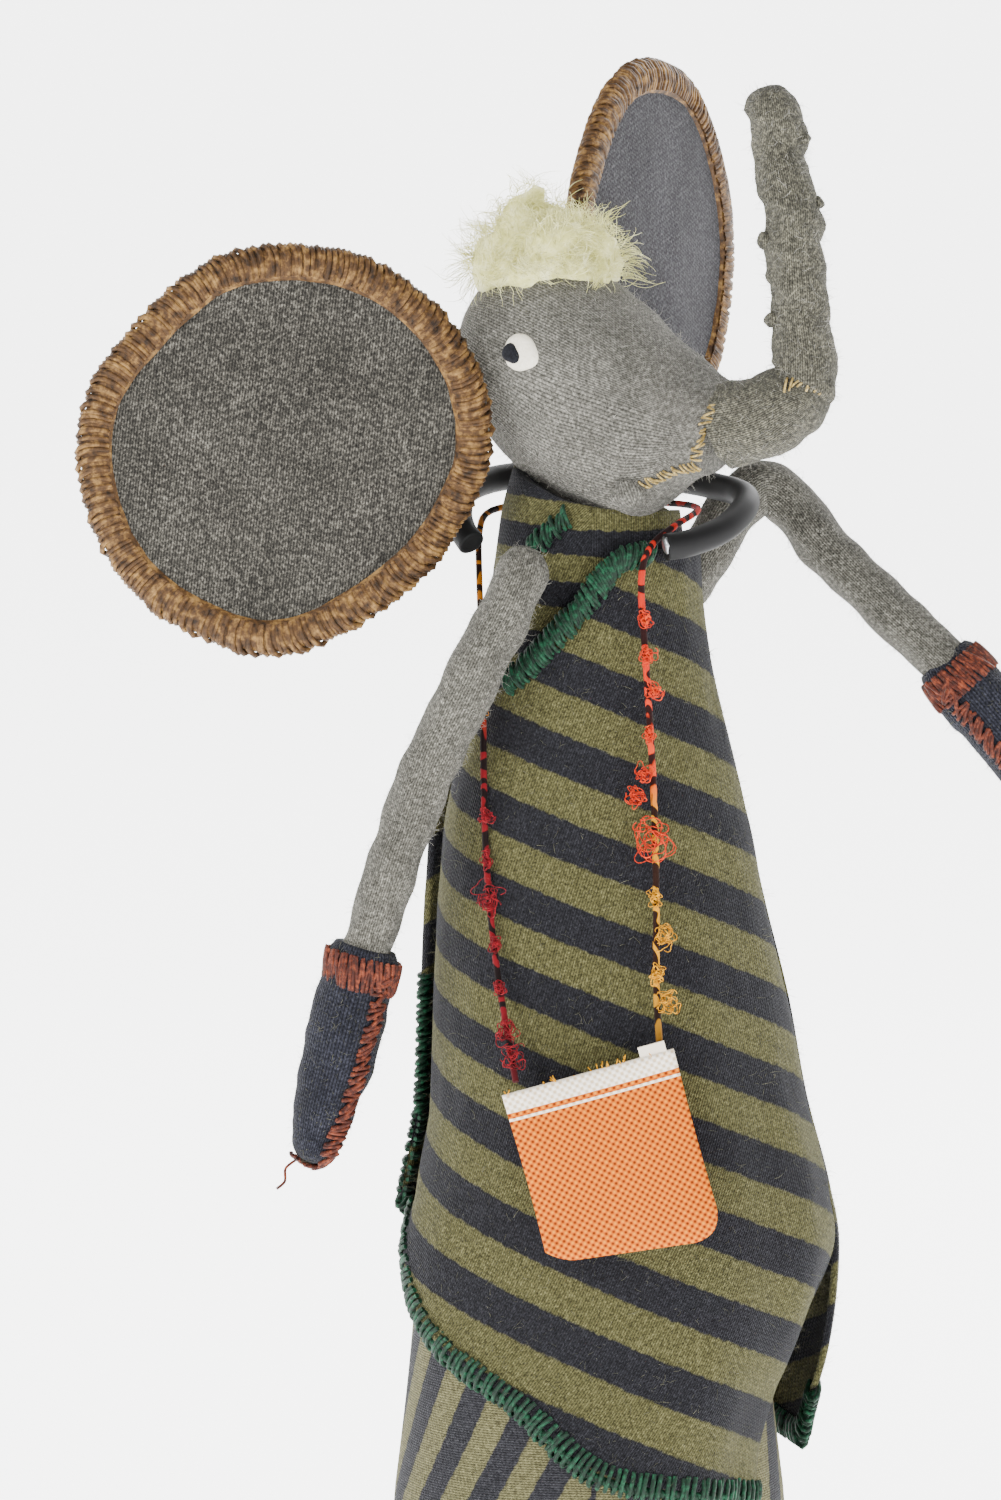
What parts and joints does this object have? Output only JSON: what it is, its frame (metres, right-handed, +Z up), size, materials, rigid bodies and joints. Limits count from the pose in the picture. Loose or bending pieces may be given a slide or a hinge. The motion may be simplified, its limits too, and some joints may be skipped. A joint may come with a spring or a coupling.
{
  "type": "sock puppet",
  "caption": "Elephant sock puppet with large stitched ears, raised trunk, wire arms with mittens, striped toga, hand opening, neck clip and a strap pouch.",
  "frame": {"origin": "centre of the hand opening in the skirt's hem plane, on the surface that the puppet stands on", "axes": "+Z up, from the hem to the top of the ears; the puppet's front faces -Y and its right hand is on the -X side"},
  "size_m": [0.2108, 0.1208, 0.3715],
  "materials": {
    "striped_knit": "striped cotton sock knit",
    "green_yarn": "thick green blanket stitches",
    "card_tube": "felt tube",
    "wire": "bending wire",
    "clip_steel": "scuffed steel",
    "clip_rubber": "smooth black sleeve",
    "slub_yarn": "slubby multicoloured yarn",
    "grey_knit": "heather grey sock knit",
    "stuffing": "loose fibre",
    "beige_thread": "beige stitches",
    "cream_felt": "felt",
    "black_felt": "felt",
    "cream_wool": "combed wool",
    "ear_knit": "dark heather knit",
    "golden_thread": "glossy satin stitches",
    "mitten_knit": "navy glove knit",
    "brown_thread": "brown stitches",
    "orange_canvas": "plain woven canvas",
    "white_selvedge": "woven selvedge"
  },
  "bodies": {
    "torso": {"skirt": "striped_knit", "bodice": "striped_knit", "toga_front": "striped_knit", "toga_back": "striped_knit", "front_hem_stitching": "green_yarn", "back_hem_stitching": "green_yarn", "neckline_stitching": "green_yarn", "neck_tube": "card_tube", "arm_yoke": "wire", "clip_rod": "clip_steel", "clip_sleeve": "clip_rubber", "stand_pin": "clip_steel", "strap_right": "slub_yarn", "strap_left": "slub_yarn"},
    "neck": {"neck_post": "card_tube"},
    "head": {"head_skin": "grey_knit", "head_stuffing": "stuffing", "jaw_seam": "beige_thread", "eye_white_right": "cream_felt", "eye_white_left": "cream_felt", "pupil_right": "black_felt", "pupil_left": "black_felt", "hair_tuft": "cream_wool"},
    "ear_right": {"ear_right_front": "ear_knit", "ear_right_back": "ear_knit", "ear_right_wire": "wire", "ear_right_edging": "golden_thread"},
    "ear_left": {"ear_left_front": "ear_knit", "ear_left_back": "ear_knit", "ear_left_wire": "wire", "ear_left_edging": "golden_thread"},
    "trunk_lower": {"trunk_lower_sleeve": "grey_knit", "trunk_base_seam": "beige_thread", "trunk_lower_wire": "wire"},
    "trunk_upper": {"trunk_upper_sleeve": "grey_knit", "trunk_elbow_seam": "beige_thread", "trunk_upper_wire": "wire"},
    "shoulder_right": {"shoulder_right_wad": "grey_knit"},
    "arm_right_upper": {"arm_right_upper": "grey_knit", "arm_right_upper_wire": "wire"},
    "arm_right_lower": {"arm_right_lower": "grey_knit", "arm_right_lower_wire": "wire", "mitten_right": "mitten_knit", "mitten_right_trim": "brown_thread"},
    "shoulder_left": {"shoulder_left_wad": "grey_knit"},
    "arm_left_upper": {"arm_left_upper": "grey_knit", "arm_left_upper_wire": "wire"},
    "arm_left_lower": {"arm_left_lower": "grey_knit", "arm_left_lower_wire": "wire", "mitten_left": "mitten_knit", "mitten_left_trim": "brown_thread"},
    "pouch": {"pouch_front": "orange_canvas", "pouch_back": "orange_canvas", "pouch_band": "white_selvedge", "pouch_tab": "white_selvedge"}
  },
  "joints": [
    {"name": "head_turn", "type": "hinge", "parent": "torso", "child": "neck", "pos_m": [-0.005, 0, 0.276], "axis": [0, 0, 1], "range_deg": [-8, 10]},
    {"name": "head_nod", "type": "hinge", "parent": "neck", "child": "head", "pos_m": [-0.005, 0, 0.3], "axis": [-0.5, -0.866, 0], "range_deg": [-2, 7]},
    {"name": "ear_right_flap", "type": "hinge", "parent": "head", "child": "ear_right", "pos_m": [-0.022, -0.016, 0.29], "axis": [0, 0, 1], "range_deg": [-5, 8]},
    {"name": "ear_left_flap", "type": "hinge", "parent": "head", "child": "ear_left", "pos_m": [0.003, 0.021, 0.318], "axis": [0, 0, -1], "range_deg": [-12, 22]},
    {"name": "trunk_lift", "type": "hinge", "parent": "head", "child": "trunk_lower", "pos_m": [0.027, -0.0192, 0.2928], "axis": [-0.5, -0.866, 0], "range_deg": [-10, 8]},
    {"name": "trunk_curl", "type": "hinge", "parent": "trunk_lower", "child": "trunk_upper", "pos_m": [0.0415, -0.027, 0.2995], "axis": [-0.5, -0.866, 0], "range_deg": [-55, 8]},
    {"name": "shoulder_right_swing", "type": "hinge", "parent": "torso", "child": "shoulder_right", "pos_m": [-0.014, -0.022, 0.2645], "axis": [-0.9013, 0, 0.4331], "range_deg": [-1, 90]},
    {"name": "shoulder_right_raise", "type": "hinge", "parent": "shoulder_right", "child": "arm_right_upper", "pos_m": [-0.014, -0.022, 0.2645], "axis": [0, 1, 0], "range_deg": [-2, 5]},
    {"name": "elbow_right", "type": "hinge", "parent": "arm_right_upper", "child": "arm_right_lower", "pos_m": [-0.0325, -0.021, 0.226], "axis": [-0.9013, 0, 0.4331], "range_deg": [-5, 55]},
    {"name": "shoulder_left_raise", "type": "hinge", "parent": "torso", "child": "shoulder_left", "pos_m": [0.022, 0.0155, 0.262], "axis": [-0.5351, 0.8448, 0], "range_deg": [-5, 30]},
    {"name": "shoulder_left_swing", "type": "hinge", "parent": "shoulder_left", "child": "arm_left_upper", "pos_m": [0.022, 0.0155, 0.262], "axis": [0, 0, -1], "range_deg": [-15, 10]},
    {"name": "elbow_left", "type": "hinge", "parent": "arm_left_upper", "child": "arm_left_lower", "pos_m": [0.0496, 0.0218, 0.2684], "axis": [-0.1274, 0.9171, -0.3779], "range_deg": [-45, 20]},
    {"name": "pouch_swing", "type": "hinge", "parent": "torso", "child": "pouch", "pos_m": [-0.001, -0.0326, 0.1644], "axis": [-0.9636, 0, -0.2672], "range_deg": [0, 70]}
  ]
}
